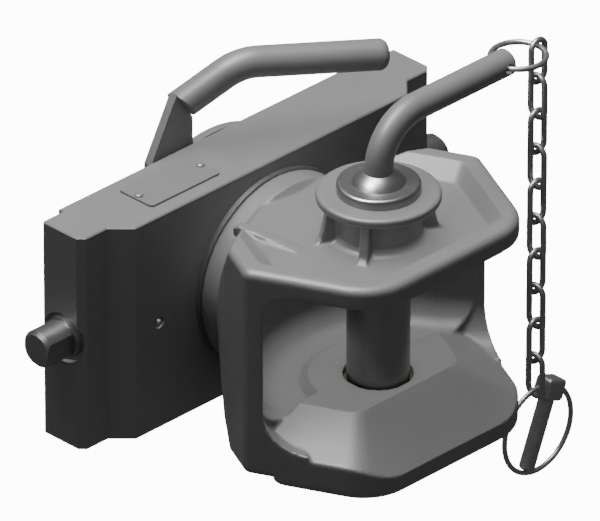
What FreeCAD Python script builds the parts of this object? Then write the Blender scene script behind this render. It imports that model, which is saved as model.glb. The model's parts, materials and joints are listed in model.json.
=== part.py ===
import FreeCAD, Part
import math
import os
import re
from types import SimpleNamespace

import Sketcher
from FreeCAD import Placement, Rotation, Vector

os.makedirs("parts", exist_ok=True)

# Height-adjustable clevis hitch: a carrier that slides in a ladder frame and locks with two
# spring pins, and a cast jaw that swivels in it and takes a drawbar eye on a drop pin.
# Origin on the hitch pin's axis, level with the seat of the lower jaw. +Y points to the
# tractor, -Y is the open mouth, +X runs along the carrier, +Z is up. Sizes in millimetres.

# Driving sizes
SIZES = {
    "swivel_height": 38.25,
    "running_gap": 0.05,
    "loose_gap": 0.3,
    "past": 1,

    "carrier_half_length": 155,
    "carrier_height": 152.5,
    "carrier_thickness": 51,
    "carrier_front": 93.5,
    "carrier_edge_chamfer": 0.8,
    "tongue_length": 22.5,
    "tongue_front_step": 12.5,
    "tongue_back_step": 3.75,
    "tongue_back_length": 18,
    "tongue_front_chamfer": 4.5,
    "tongue_back_chamfer": 1,

    "plate_length": 61,
    "plate_width": 30,
    "plate_thickness": 1.5,
    "plate_corner": 3,
    "plate_centre": 65,
    "rivet_spacing": 54,
    "rivet_radius": 1.5,
    "rivet_head_radius": 2.7,
    "rivet_head_height": 1.5,
    "rivet_dome": 1.35,
    "rivet_length": 6,

    "nipple_place": 99.5,
    "nipple_radius": 4,
    "nipple_recess": 1.2,
    "nipple_length": 9,
    "nipple_ball_radius": 2.2,

    "lock_pin_radius": 12.5,
    "lock_pin_reach": 23,
    "lock_pin_chamfer": 2.3,
    "lock_pin_flat_depth": 2,
    "lock_pin_body_radius": 14,
    "lock_pin_shoulder": 1.5,
    "lock_pin_body_length": 30,
    "lock_pin_travel": 24.5,
    "lock_stem_radius": 7,
    "lock_stem_end": 59,
    "lock_mouth_radius": 17,
    "lock_mouth_depth": 4,
    "spring_step": 80,
    "spring_wire_radius": 1.5,
    "spring_mean_radius": 10.6,
    "spring_turns": 6,
    "spring_seat_gap": 0.1,
    "peg_radius": 4,
    "peg_place": 66,
    "peg_sunk": 5,
    "peg_proud": 2.5,
    "peg_chamfer": 1,
    "slot_gap": 0.15,
    "slot_steps": 12,

    "shaft_radius": 25,
    "bush_wall": 5,
    "front_bush_length": 22,
    "grease_room": 5,
    "hub_reach": 12.5,
    "lever_play": 0.5,
    "lever_radius": 76,
    "lever_thickness": 6,
    "lever_release_angle": 28,
    "arm_foot_x": 56,
    "arm_foot_z": 112,
    "arm_peak_x": 33,
    "arm_peak_z": 154,
    "arm_tip_x": 19,
    "arm_tip_z": 133,
    "arm_root_z": 108,
    "circlip_thickness": 2,
    "circlip_sink": 1.5,
    "circlip_reach": 4,
    "circlip_mouth": 9,
    "rod_radius": 10.2,
    "rod_bend_radius": 34,
    "rod_end_round": 6,
    "rod_bend_x": 6,
    "rod_bend_y": 128.5,
    "rod_bend_z": 168.5,
    "rod_end_x": 90,
    "rod_end_y": 81.5,
    "rod_end_z": 160,

    "jaw_front": 66,
    "jaw_side": 88,
    "jaw_side_angle": 25.4,
    "jaw_wide_back": 14,
    "jaw_rear_back": 48.3,
    "jaw_neck_half": 66,
    "jaw_trim_spread": 1.37,
    "jaw_step_rise": 4.8,
    "jaw_step_back": -3,
    "jaw_step_run": 5,
    "jaw_boss_radius": 36,
    "jaw_depth": 42,
    "jaw_corner": 36,
    "jaw_wide_corner": 7,
    "jaw_edge": 5.5,
    "deck_height": 99.4,
    "rim_height": 10.1,
    "deck_front": 44,
    "deck_inset": 21,
    "deck_rear_inset": 24.5,
    "deck_slope_run": 8.5,
    "deck_rear_slope_run": 12,
    "deck_corner": 12,
    "flange_radius": 66,
    "flange_front": 76,
    "flange_back": 90.5,
    "flange_cone": 16,
    "washer_overlap": 1.5,

    "mouth_radius": 90,
    "mouth_centre": 15,
    "mouth_round": 18,
    "roof_thickness": 4.4,
    "gutter_depth": 6,
    "upper_boss_radius": 36,
    "upper_boss_height": 80,
    "lip_radius": 113,
    "lip_centre": 53,
    "lip_depth": 16,
    "lip_round": 24,
    "seat_radius": 44,
    "seat_slope_run": 6,
    "seat_back": 9,
    "seat_front": 27,
    "seat_side": 52.5,
    "ramp_front_run": 39,
    "ramp_front_drop": 28,
    "ramp_side_run": 34.5,
    "ramp_side_drop": 19,
    "ramp_room_radius": 90,
    "ramp_floor": 34,
    "ramp_inner_corner": 24,
    "ramp_outer_corner": 46,

    "tower_radius": 27.5,
    "tower_top": 131,
    "tower_foot_round": 4.4,
    "tower_ring_radius": 39.5,
    "tower_ring_thickness": 6.5,
    "tower_ring_round": 2.5,
    "rib_reach": 38,
    "rib_foot": 3,
    "rib_lean": 5,
    "rib_sink": 2,
    "rib_thickness": 6,
    "gusset_place": 58,
    "gusset_turn": 10.3,
    "gusset_length": 50,
    "gusset_start": 8,
    "gusset_height": 9,
    "gusset_thickness": 7,

    "pin_radius": 20,
    "pin_bush_wall": 4.5,
    "pin_hole_radius": 22,
    "lower_bush_top": 6,
    "pin_end": 70,
    "pin_end_taper": 8,
    "pin_lock_hole_radius": 5.9,
    "pin_lock_hole_place": 55,
    "pin_washer_thickness": 2.6,
    "collar_radius": 26.6,
    "collar_thickness": 4,
    "collar_round": 2.2,
    "dome_radius": 20.8,
    "dome_base_radius": 17.1,
    "handle_radius": 9,
    "handle_bend_radius": 32,
    "handle_height": 177.7,
    "handle_end": 114.5,
    "handle_chamfer": 2,
    "handle_socket": 137,

    "key_ring_radius": 17.6,
    "key_ring_wire_radius": 1.85,
    "key_ring_hole_place": 107.3,
    "link_wire_radius": 2,
    "link_inner_length": 25.6,
    "link_arc_radius": 6,
    "link_count": 10,

    "bail_radius": 30,
    "bail_wire_radius": 1.75,
    "bail_lean": 2.5,
    "head_half_width": 8.5,
    "head_length": 15,
    "head_depth": 14,
    "head_round": 3,
    "bail_stub": 4.5,
    "lynch_radius": 5.25,
    "lynch_tilt": 22,
    "lynch_chamfer": 1.5,

    "rear_washer_radius": 33,
    "rear_washer_thickness": 6,
    "stud_radius": 18,
    "nut_across_flats": 55,
    "nut_thickness": 24,
    "nut_crown": 9,
    "nut_slot": 7,
    "nut_crown_inset": 1.5,
    "stud_proud": 3,
    "stud_chamfer": 1.5,
    "cotter_radius": 2.8,
    "cotter_reach": 33.5,
    "cotter_eye_radius": 4,
    "cotter_wire_radius": 1.4,
    "cotter_split": 0.4,
}

doc = FreeCAD.newDocument("ClevisHitch")
sheet = doc.addObject("Spreadsheet::Sheet", "Sizes")
for row, (alias, size) in enumerate(SIZES.items(), start=1):
    sheet.set("A%d" % row, alias)
    sheet.set("B%d" % row, str(size))
    sheet.setAlias("B%d" % row, alias)
doc.recompute()
D = SimpleNamespace(**{alias: sheet.get(alias) for alias in SIZES})

# Directions that a piece's own Z axis can be turned to
UP = Rotation()
ALONG_X = Rotation(Vector(0, 1, 0), 90)
AGAINST_X = Rotation(Vector(0, 1, 0), -90)
ALONG_Y = Rotation(Vector(1, 0, 0), -90)
AGAINST_Y = Rotation(Vector(1, 0, 0), 90)

nodes = []


def formula(text):
    """The text with each size name pointing at its cell."""
    return re.sub(r"[a-z]\w*", lambda word: "Sizes." + word[0] if word[0] in SIZES else word[0], str(text))


def place(item, at=(0, 0, 0), turn=UP):
    """Put an item at a point given by three formulas."""
    item.Placement = Placement(Vector(), turn)
    for axis, text in zip("xyz", at):
        if text != 0:
            item.setExpression("Placement.Base." + axis, formula(text))
    return item


def solid(kind, name, at=(0, 0, 0), turn=UP, **sizes):
    """A primitive whose sizes are formulas."""
    item = doc.addObject("Part::" + kind, name)
    for size, text in sizes.items():
        item.setExpression(size, formula(text))
    return place(item, at, turn)


def fuse(name, *items):
    item = doc.addObject("Part::MultiFuse", name)
    item.Shapes = list(items)
    return item


def cut(name, base, *tools):
    item = doc.addObject("Part::Cut", name)
    item.Base = base
    item.Tool = tools[0] if len(tools) == 1 else fuse(name + "_tools", *tools)
    return item


def common(name, base, tool):
    item = doc.addObject("Part::Common", name)
    item.Base = base
    item.Tool = tool
    return item


def shaped(name, shape):
    """An item whose shape the code works out from the sheet."""
    item = doc.addObject("Part::Feature", name)
    item.Shape = shape
    return item


def rounded(name, base, radius, wanted, last_radius=None, kind="Part::Fillet"):
    """Round or chamfer the edges of a base that pass a test."""
    doc.recompute()
    item = doc.addObject(kind, name)
    item.Base = base
    item.Edges = [
        (number, radius, last_radius or radius)
        for number, edge in enumerate(base.Shape.Edges, start=1)
        if wanted(edge)
    ]
    return item


def sketch(body, role, name, corners, offset=0):
    """A closed outline through corners given by formulas, on one of the body's own planes."""
    outline = body.newObject("Sketcher::SketchObject", name)
    plane = next(item for item in body.Origin.OriginFeatures if item.Role == role)
    outline.AttachmentSupport = (plane, "")
    outline.MapMode = "FlatFace"
    outline.setExpression("AttachmentOffset.Base.z", formula(offset))
    count = len(corners)
    turn = 2 * math.pi / count
    start = [Vector(math.cos(turn * number), math.sin(turn * number), 0) for number in range(count)]
    for number in range(count):
        outline.addGeometry(Part.LineSegment(start[number], start[(number + 1) % count]))
    for number in range(count):
        outline.addConstraint(Sketcher.Constraint("Coincident", number, 2, (number + 1) % count, 1))
    for number, corner in enumerate(corners):
        for kind, text, first in zip(("DistanceX", "DistanceY"), corner, start[number]):
            index = outline.addConstraint(Sketcher.Constraint(kind, -1, 1, number, 1, first))
            outline.setExpression("Constraints[%d]" % index, formula(text))
    return outline


def padded(name, corners, length, at=(0, 0, 0), turn=UP, offset=0, plane="XY_Plane"):
    """A body padded from an outline on one of its own planes."""
    body = doc.addObject("PartDesign::Body", name)
    pad = body.newObject("PartDesign::Pad", name + "_pad")
    pad.Profile = sketch(body, plane, name + "_outline", corners, offset)
    pad.setExpression("Length", formula(length))
    body.Tip = pad
    return place(body, at, turn)


def turned(name, corners, at=(0, 0, 0), turn=UP):
    """A body turned about its Z axis from corners given as radius and height."""
    body = doc.addObject("PartDesign::Body", name)
    profile = sketch(body, "XZ_Plane", name + "_profile", corners)
    revolution = body.newObject("PartDesign::Revolution", name + "_turned")
    revolution.Profile = profile
    revolution.ReferenceAxis = (profile, ["V_Axis"])
    revolution.Angle = 360
    body.Tip = revolution
    return place(body, at, turn)


def tube(name, inner, outer, length, at, turn=UP):
    """A plain ring, bush or washer."""
    return turned(name, [(inner, 0), (outer, 0), (outer, length), (inner, length)], at, turn)


def mirrored(corners):
    """The corners of one side, then those of the other side in reverse."""
    return [(x, y) for x, y in corners] + [("-(%s)" % x, y) for x, y in reversed(corners)]


def node(name, item):
    """Name a finished piece."""
    item.Label = name
    nodes.append(item)
    return item


def bent_rod(points, radius, bend_radius):
    """A round bar along straight runs with one arc at the middle point."""
    first, middle, last = points
    back = (first - middle).normalize()
    ahead = (last - middle).normalize()
    half_turn = back.getAngle(ahead) / 2
    run = bend_radius / math.tan(half_turn)
    arc_start = middle + back * run
    arc_end = middle + ahead * run
    inward = (back + ahead).normalize()
    crown = middle + inward * (bend_radius / math.sin(half_turn) - bend_radius)
    path = Part.Wire([
        Part.LineSegment(first, arc_start).toShape(),
        Part.Arc(arc_start, crown, arc_end).toShape(),
        Part.LineSegment(arc_end, last).toShape(),
    ])
    section = Part.Wire(Part.Circle(first, middle - first, radius).toShape())
    return path.makePipeShell([section], True, True)


SWIVEL_AXIS = (0, 0, "swivel_height")
TONGUE_FRONT = "carrier_front + tongue_front_step"
TONGUE_BACK = "carrier_front + carrier_thickness - tongue_back_step"
LOCK_Y = "(%s + %s) / 2" % (TONGUE_FRONT, TONGUE_BACK)
CARRIER_BACK = "carrier_front + carrier_thickness"
CARRIER_TOP = "swivel_height + carrier_height / 2"
BUSH_RADIUS = "shaft_radius + bush_wall"
LEVER_FRONT = CARRIER_BACK + " + lever_play"
HUB_END = CARRIER_BACK + " + hub_reach"
CIRCLIP_FRONT = LEVER_FRONT + " + lever_thickness + loose_gap"


def carrier():
    """The sliding block: a tongue at each end, bores for the swivel shaft and the lock pins."""
    tongue_start = "carrier_half_length - tongue_length"
    half = [
        (tongue_start + " - tongue_front_step", "carrier_front"),
        (tongue_start, TONGUE_FRONT),
        ("carrier_half_length - tongue_front_chamfer", TONGUE_FRONT),
        ("carrier_half_length", TONGUE_FRONT + " + tongue_front_chamfer"),
        ("carrier_half_length", TONGUE_BACK + " - tongue_back_chamfer"),
        ("carrier_half_length - tongue_back_chamfer", TONGUE_BACK),
        ("carrier_half_length - tongue_back_length", TONGUE_BACK),
        ("carrier_half_length - tongue_back_length", CARRIER_BACK),
    ]
    block = padded("carrier_block", mirrored(half), "carrier_height", (0, 0, "swivel_height"),
                   offset="-carrier_height / 2")
    low = D.swivel_height - D.carrier_height / 2
    high = D.swivel_height + D.carrier_height / 2
    block = rounded("carrier_edges", block, D.carrier_edge_chamfer,
                    lambda edge: min(abs(edge.BoundBox.ZMax - low), abs(edge.BoundBox.ZMin - high)) < 0.01,
                    kind="Part::Chamfer")
    tools = [solid("Cylinder", "shaft_bore", (0, "carrier_front - past", "swivel_height"), ALONG_Y,
                   Radius=BUSH_RADIUS, Height="carrier_thickness + 2 * past")]
    for side, sign, turn in (("left", "-", AGAINST_X), ("right", "", ALONG_X)):
        tools += [
            solid("Cylinder", "pin_bore_" + side, (sign + "spring_step", LOCK_Y, "swivel_height"), turn,
                  Radius="lock_pin_body_radius + running_gap", Height="carrier_half_length"),
            solid("Cylinder", "stem_bore_" + side,
                  (sign + "(lock_stem_end - lock_pin_travel - past)", LOCK_Y, "swivel_height"), turn,
                  Radius="lock_stem_radius + running_gap", Height="carrier_half_length"),
            solid("Cylinder", "pin_mouth_" + side,
                  (sign + "(carrier_half_length - lock_mouth_depth)", LOCK_Y, "swivel_height"), turn,
                  Radius="lock_mouth_radius", Height="2 * lock_mouth_depth"),
            solid("Cylinder", "nipple_hole_" + side,
                  (sign + "nipple_place", "carrier_front - past", "swivel_height"), ALONG_Y,
                  Radius="nipple_radius", Height="%s - carrier_front" % LOCK_Y),
        ]
        tools += peg_slot(side, sign)
    for number, sign in enumerate(("-", "")):
        tools.append(solid("Cylinder", "rivet_hole_%d" % number,
                           ("-plate_centre %s rivet_spacing / 2" % (sign or "+"), NAME_PLATE_Y,
                            CARRIER_TOP + " - rivet_length"),
                           Radius="rivet_radius", Height="rivet_length + past"))
    return node("carrier", cut("carrier_bored", block, *tools))


def peg_slot(side, sign):
    """The straight slot in the back of the carrier that a drive peg runs in."""
    start = "peg_place - lock_pin_travel - loose_gap"
    travel = "lock_pin_travel + 2 * loose_gap"
    radius = "peg_radius + loose_gap"
    depth = "carrier_thickness"
    corner = "%s(%s)" % (sign, start) if sign == "" else "-(%s) - (%s)" % (start, travel)
    parts = [solid("Box", "peg_slot_" + side, (corner, LOCK_Y, "swivel_height - (%s)" % radius),
                   Length=travel, Width=depth, Height="2 * (%s)" % radius)]
    for end, place_x in (("inner", start), ("outer", "peg_place + loose_gap")):
        parts.append(solid("Cylinder", "peg_slot_%s_%s" % (end, side),
                           ("%s(%s)" % (sign, place_x), LOCK_Y, "swivel_height"), ALONG_Y,
                           Radius=radius, Height=depth))
    return parts


NAME_PLATE_Y = "carrier_front + carrier_thickness / 2"


def name_plate():
    """A thin blank plate with rounded corners and two drive rivets."""
    corners = mirrored([("plate_length / 2", "-plate_width / 2"), ("plate_length / 2", "plate_width / 2")])
    sheet_metal = padded("name_plate_sheet", corners, "plate_thickness",
                         ("-plate_centre", NAME_PLATE_Y, CARRIER_TOP))
    sheet_metal = rounded("name_plate_corners", sheet_metal, D.plate_corner,
                          lambda edge: edge.BoundBox.ZLength > D.plate_thickness / 2)
    holes = []
    rivets = []
    for number, sign in enumerate("-+"):
        spot = ("-plate_centre %s rivet_spacing / 2" % sign, NAME_PLATE_Y)
        holes.append(solid("Cylinder", "plate_hole_%d" % number, spot + (CARRIER_TOP + " - past",),
                           Radius="rivet_radius", Height="plate_thickness + 2 * past"))
        rivet = turned("rivet_%d" % number, [
            (0, "-rivet_length"), ("rivet_radius", "-rivet_length"), ("rivet_radius", "plate_thickness"),
            ("rivet_head_radius", "plate_thickness"),
            ("rivet_head_radius", "plate_thickness + rivet_head_height"),
            (0, "plate_thickness + rivet_head_height"),
        ], spot + (CARRIER_TOP,))
        top = D.swivel_height + D.carrier_height / 2 + D.plate_thickness + D.rivet_head_height
        rivets.append(rounded(
            "rivet_dome_%d" % number, rivet, D.rivet_dome,
            lambda edge: abs(edge.BoundBox.ZMin - top) < 0.01 and edge.Length > D.rivet_head_radius))
    node("name_plate", cut("name_plate_drilled", sheet_metal, *holes))
    pair = doc.addObject("Part::Compound", "rivet_pair")
    pair.Links = rivets
    node("name_plate_rivets", pair)


def grease_nipples():
    """Flush nipples that grease the lock pin bores."""
    for side, sign in (("left", "-"), ("right", "")):
        spot = (sign + "nipple_place", "carrier_front + nipple_recess", "swivel_height")
        barrel = solid("Cylinder", "nipple_barrel_" + side, spot, ALONG_Y,
                       Radius="nipple_radius", Height="nipple_length")
        ball = solid("Sphere", "nipple_ball_" + side, spot, ALONG_Y, Radius="nipple_ball_radius")
        node("grease_nipple_" + side, fuse("nipple_" + side, barrel, ball))


def lock_pins():
    """Two spring-loaded pins that reach out of the tongues, each with a pocket for its spring and a peg."""
    pocket = "spring_mean_radius + spring_wire_radius + spring_seat_gap"
    pocket_end = "lock_pin_travel + spring_seat_gap - lock_pin_body_length"
    for side, sign, turn in (("left", "-", AGAINST_X), ("right", "", ALONG_X)):
        root = (sign + "carrier_half_length", LOCK_Y, "swivel_height")
        shank = turned("lock_shank_" + side, [
            (0, "lock_pin_reach"),
            ("lock_pin_radius - lock_pin_chamfer", "lock_pin_reach"),
            ("lock_pin_radius", "lock_pin_reach - lock_pin_chamfer"),
            ("lock_pin_radius", "lock_pin_shoulder"),
            ("lock_pin_body_radius", "lock_pin_shoulder"),
            ("lock_pin_body_radius", "-lock_pin_body_length"),
            (pocket, "-lock_pin_body_length"),
            (pocket, pocket_end),
            ("lock_stem_radius", pocket_end),
            ("lock_stem_radius", "lock_stem_end - carrier_half_length"),
            (0, "lock_stem_end - carrier_half_length"),
        ], root, turn)
        flat_start = "carrier_half_length + lock_pin_shoulder"
        flat_corner = "%s(%s)" % (sign, flat_start) if sign == "" else "-(%s) - lock_pin_reach" % flat_start
        flat = solid(
            "Box", "lock_flat_" + side,
            (flat_corner, LOCK_Y + " - lock_pin_radius - past", "swivel_height - lock_pin_radius"),
            Length="lock_pin_reach", Width="lock_pin_flat_depth + past", Height="2 * lock_pin_radius")
        peg_foot = (sign + "peg_place", LOCK_Y + " - peg_sunk", "swivel_height")
        peg_hole = solid("Cylinder", "peg_hole_" + side, peg_foot, ALONG_Y,
                         Radius="peg_radius", Height="2 * carrier_thickness")
        node("lock_pin_" + side, cut("lock_pin_cut_" + side, shank, flat, peg_hole))
        length = "%s + lever_thickness + peg_proud - (%s) + peg_sunk" % (LEVER_FRONT, LOCK_Y)
        peg = turned("peg_" + side, [
            (0, 0), ("peg_radius", 0), ("peg_radius", length + " - peg_chamfer"),
            ("peg_radius - peg_chamfer", length), (0, length),
        ], peg_foot, ALONG_Y)
        node("lock_pin_peg_" + side, peg)


def lock_springs():
    """A coil spring on each stem, as long as it is when the pin is drawn in over it."""
    wire = D.spring_wire_radius
    length = D.carrier_half_length - D.lock_pin_body_length - D.spring_step - 2 * (wire + D.spring_seat_gap)
    lock_y = (2 * D.carrier_front + D.tongue_front_step + D.carrier_thickness - D.tongue_back_step) / 2
    for side, sign, turn in (("left", -1, AGAINST_X), ("right", 1, ALONG_X)):
        path = Part.makeHelix(length / D.spring_turns, length, D.spring_mean_radius)
        start = Vector(D.spring_mean_radius, 0, 0)
        section = Part.Wire(Part.Circle(start, Vector(0, 1, 0), wire).toShape())
        coil = shaped("spring_" + side, Part.Wire(path).makePipeShell([section], True, True))
        at = Vector(sign * (D.spring_step + wire + D.spring_seat_gap), lock_y, D.swivel_height)
        coil.Placement = Placement(at, turn)
        node("lock_pin_spring_" + side, coil)


def bushes():
    """The bronze front bush, the rear hub that carries the lever, and the front thrust washer."""
    inner = "shaft_radius + running_gap"
    node("front_bush", tube("front_bush_ring", inner, BUSH_RADIUS, "front_bush_length",
                            (0, "carrier_front", "swivel_height"), ALONG_Y))
    hub_start = "front_bush_length + grease_room"
    groove = "%s - carrier_front" % CIRCLIP_FRONT
    groove_radius = BUSH_RADIUS + " - circlip_sink"
    end = "%s - carrier_front" % HUB_END
    node("rear_hub", turned("rear_hub_ring", [
        (inner, hub_start), (BUSH_RADIUS, hub_start), (BUSH_RADIUS, groove), (groove_radius, groove),
        (groove_radius, groove + " + circlip_thickness"), (BUSH_RADIUS, groove + " + circlip_thickness"),
        (BUSH_RADIUS, end), (inner, end),
    ], (0, "carrier_front", "swivel_height"), ALONG_Y))
    node("thrust_washer", tube("thrust_ring", "shaft_radius + loose_gap", "flange_radius + washer_overlap",
                               "carrier_front - flange_back", (0, "flange_back", "swivel_height"), ALONG_Y))


def circlip():
    """The open ring that keeps the lever plate on the hub."""
    ring = tube("circlip_ring", BUSH_RADIUS + " - circlip_sink", BUSH_RADIUS + " + circlip_reach",
                "circlip_thickness", (0, CIRCLIP_FRONT, "swivel_height"), ALONG_Y)
    mouth = solid(
        "Box", "circlip_gap",
        ("-circlip_mouth / 2", CIRCLIP_FRONT + " - past", "swivel_height - 2 * (%s)" % BUSH_RADIUS),
        Length="circlip_mouth", Width="circlip_thickness + 2 * past", Height="2 * (%s)" % BUSH_RADIUS)
    node("lever_circlip", cut("circlip_open", ring, mouth))


def spiral_slot(name, start_angle):
    """A slot of even width whose radius falls evenly as the lever turns."""
    sweep = math.radians(D.lever_release_angle)
    half = D.peg_radius + D.slot_gap
    steps = int(D.slot_steps)
    outer = D.peg_place
    fall = D.lock_pin_travel / sweep
    sides = {1: [], -1: []}
    ends = []
    for step in range(steps + 1):
        turned_by = sweep * step / steps
        angle = start_angle - turned_by
        spot = Vector(math.cos(angle), 0, math.sin(angle)) * (outer - fall * turned_by)
        along = Vector(math.sin(angle), 0, -math.cos(angle)) * spot.Length
        along -= Vector(math.cos(angle), 0, math.sin(angle)) * fall
        along.normalize()
        across = Vector(along.z, 0, -along.x)
        for side in sides:
            sides[side].append(spot + across * half * side)
        ends.append((spot, along))
    curves = []
    for points in (sides[1], sides[-1]):
        curve = Part.BSplineCurve()
        curve.interpolate(points)
        curves.append(curve.toShape())
    first = ends[0][0] - ends[0][1] * half
    last = ends[-1][0] + ends[-1][1] * half
    curves.insert(1, Part.Arc(sides[1][-1], last, sides[-1][-1]).toShape())
    curves.append(Part.Arc(sides[-1][0], first, sides[1][0]).toShape())
    face = Part.Face(Part.Wire(Part.__sortEdges__(curves)))
    slot = shaped(name, face.extrude(Vector(0, D.lever_thickness + 2 * D.past, 0)))
    return place(slot, (0, LEVER_FRONT + " - past", "swivel_height"))


def lever():
    """The release lever: a flame-cut disc with an arm, and the bent bar welded to the arm."""
    disc = solid("Cylinder", "lever_disc", (0, LEVER_FRONT, "swivel_height"), ALONG_Y,
                 Radius="lever_radius", Height="lever_thickness")
    arm = padded("lever_arm", [
        ("-arm_foot_x", "-arm_foot_z + swivel_height"), ("-arm_peak_x", "-arm_peak_z + swivel_height"),
        ("-arm_tip_x", "-arm_tip_z + swivel_height"), ("-arm_tip_x", "-arm_root_z + swivel_height"),
        (0, 0), ("-arm_foot_x", 0),
    ], "lever_thickness", (0, LEVER_FRONT, "swivel_height"), ALONG_Y)
    blank = fuse("lever_blank", disc, arm)
    hole = solid("Cylinder", "lever_hole", (0, LEVER_FRONT + " - past", "swivel_height"), ALONG_Y,
                 Radius=BUSH_RADIUS + " + running_gap", Height="lever_thickness + 2 * past")
    node("lever_plate", cut("lever_cut", blank, hole, spiral_slot("slot_right", 0),
                            spiral_slot("slot_left", math.pi)))
    middle_y = D.carrier_front + D.carrier_thickness + D.lever_play + D.lever_thickness / 2
    peak = Vector(-D.arm_peak_x, middle_y, D.arm_peak_z)
    tip = Vector(-D.arm_tip_x, middle_y, D.arm_tip_z)
    seat = (peak + tip) / 2
    bend = Vector(D.rod_bend_x, D.rod_bend_y, D.rod_bend_z)
    end = Vector(D.rod_end_x, D.rod_end_y, D.rod_end_z)
    start = seat - (bend - seat).normalize() * 3 * D.rod_radius
    bar = shaped("rod_bar", bent_rod((start, bend, end), D.rod_radius, D.rod_bend_radius))
    bar = rounded("rod_round", bar, D.rod_end_round,
                  lambda edge: edge.CenterOfMass.distanceToPoint(end) < 0.1)
    slope = (tip - peak).normalize()
    out = Vector(-slope.z, 0, slope.x)
    if out.x < 0:
        out = -out
    side = 8 * D.rod_radius
    waste = Part.makeBox(side, side, side, Vector(-side, -side / 2, -side / 2))
    trim = shaped("rod_trim", waste)
    trim.Placement = Placement(seat, Rotation(Vector(1, 0, 0), out))
    node("lever_rod", cut("rod_cut", bar, trim))


def side_x(offset, at_y):
    """Where a line parallel to the jaw's front side reaches a given Y."""
    return "((%s) + sin(jaw_side_angle) * (%s)) / cos(jaw_side_angle)" % (offset, at_y)


def rear_x(inset, at_y):
    """Where a line parallel to the jaw's rear side, set in from it, reaches a given Y."""
    return side_x("jaw_side - (%s)" % inset, "2 * jaw_wide_back - (%s)" % at_y)


def jaw_blank(name, bottom):
    """An eight-sided prism with rounded edges, from a given bottom up to the rim."""
    corners = mirrored([
        (side_x("jaw_side", "-jaw_front"), "-jaw_front"),
        (side_x("jaw_side", "jaw_wide_back"), "jaw_wide_back"),
        (rear_x("0", "jaw_rear_back"), "jaw_rear_back"),
        ("jaw_neck_half", "flange_front"),
    ])
    block = padded(name, corners, "deck_height + rim_height + (%s)" % bottom, (0, 0, "-(%s)" % bottom))

    def corner(edge, low, high):
        box = edge.BoundBox
        return box.ZLength > D.deck_height and low < box.YMin < high

    block = rounded(name + "_front_corners", block, D.jaw_corner,
                    lambda edge: corner(edge, -2 * D.jaw_front, 0))
    block = rounded(name + "_wide_corners", block, D.jaw_wide_corner,
                    lambda edge: corner(edge, D.jaw_wide_back - 1, D.jaw_rear_back + 1))
    return rounded(name + "_rim", block, D.jaw_edge,
                   lambda edge: edge.BoundBox.ZLength < 0.01 and edge.BoundBox.YMin < D.flange_front - 1)


def jaw_block():
    """The body of the jaw before anything is cut, with its underside stepped up at the back."""
    high = jaw_blank("jaw_back_block", "jaw_depth - jaw_step_rise")
    low = jaw_blank("jaw_front_block", "jaw_depth")
    reach = "3 * jaw_side"
    front = padded("jaw_front_half", [
        ("-4 * jaw_front", "-2 * jaw_depth"), ("jaw_step_back - jaw_step_run", "-2 * jaw_depth"),
        ("jaw_step_back - jaw_step_run", "-jaw_depth"),
        ("jaw_step_back", "jaw_step_rise - jaw_depth"), ("jaw_step_back", "jaw_edge"),
        ("-4 * jaw_front", "jaw_edge"),
    ], "2 * (%s)" % reach, plane="YZ_Plane", offset="-(%s)" % reach)
    boss = solid("Cylinder", "jaw_boss", (0, 0, "-jaw_depth"), Radius="jaw_boss_radius", Height="jaw_depth")
    block = fuse("jaw_stepped", high, common("jaw_front_part", low, front), boss)
    cone = solid(
        "Cone", "jaw_trim", (0, "flange_front", "swivel_height"), AGAINST_Y,
        Radius1="flange_radius", Radius2="flange_radius + jaw_trim_spread * " + reach, Height=reach)
    return common("jaw_trimmed", block, cone)


def deck_tool():
    """The sloped recess in the top of the upper jaw."""
    sections = []
    for level, height, share in (("low", "deck_height", 0), ("high", "deck_height + 2 * rim_height", 2)):
        inset = "(deck_inset - %d * deck_slope_run)" % share
        rear_inset = "(deck_rear_inset - %d * deck_rear_slope_run)" % share
        front = "-deck_front - %d * deck_slope_run" % share
        wide_y = "(jaw_wide_back + (%s - %s) / 2 / sin(jaw_side_angle))" % (inset, rear_inset)
        body = doc.addObject("PartDesign::Body", "deck_" + level)
        corners = mirrored([
            (side_x("jaw_side - " + inset, front), front),
            (side_x("jaw_side - " + inset, wide_y), wide_y),
            (rear_x(rear_inset, "flange_back"), "flange_back"),
        ])
        sections.append(sketch(body, "XY_Plane", "deck_outline_" + level, corners, height))
    loft = doc.addObject("Part::Loft", "deck_loft")
    loft.Sections = sections
    loft.Solid = True
    loft.Ruled = True
    return rounded("deck_recess", loft, D.deck_corner,
                   lambda edge: edge.BoundBox.ZLength > 1 and edge.BoundBox.YMax < D.flange_front)


def ramp_roof():
    """What stays of the lower jaw below the seat's level and its sloping ramps."""
    drop = "jaw_depth"
    front_run = "%s * ramp_front_run / ramp_front_drop" % drop
    side_run = "%s * ramp_side_run / ramp_side_drop" % drop
    sections = []
    for level, height, front, side in (
        ("seat", "0", "seat_front", "seat_side"),
        ("foot", "-jaw_depth", "seat_front + " + front_run, "seat_side + " + side_run),
    ):
        body = doc.addObject("PartDesign::Body", "ramp_" + level)
        corners = mirrored([
            (side_x(side, "-(%s)" % front), "-(%s)" % front),
            (side_x(side, "flange_front"), "flange_front"),
        ])
        sections.append(sketch(body, "XY_Plane", "ramp_outline_" + level, corners, height))
    loft = doc.addObject("Part::Loft", "ramp_loft")
    loft.Sections = sections
    loft.Solid = True
    loft.Ruled = True
    return rounded("ramp_roof", loft, D.ramp_inner_corner,
                   lambda edge: edge.BoundBox.ZLength > 1 and edge.BoundBox.YMax < 0,
                   last_radius=D.ramp_outer_corner)


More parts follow.
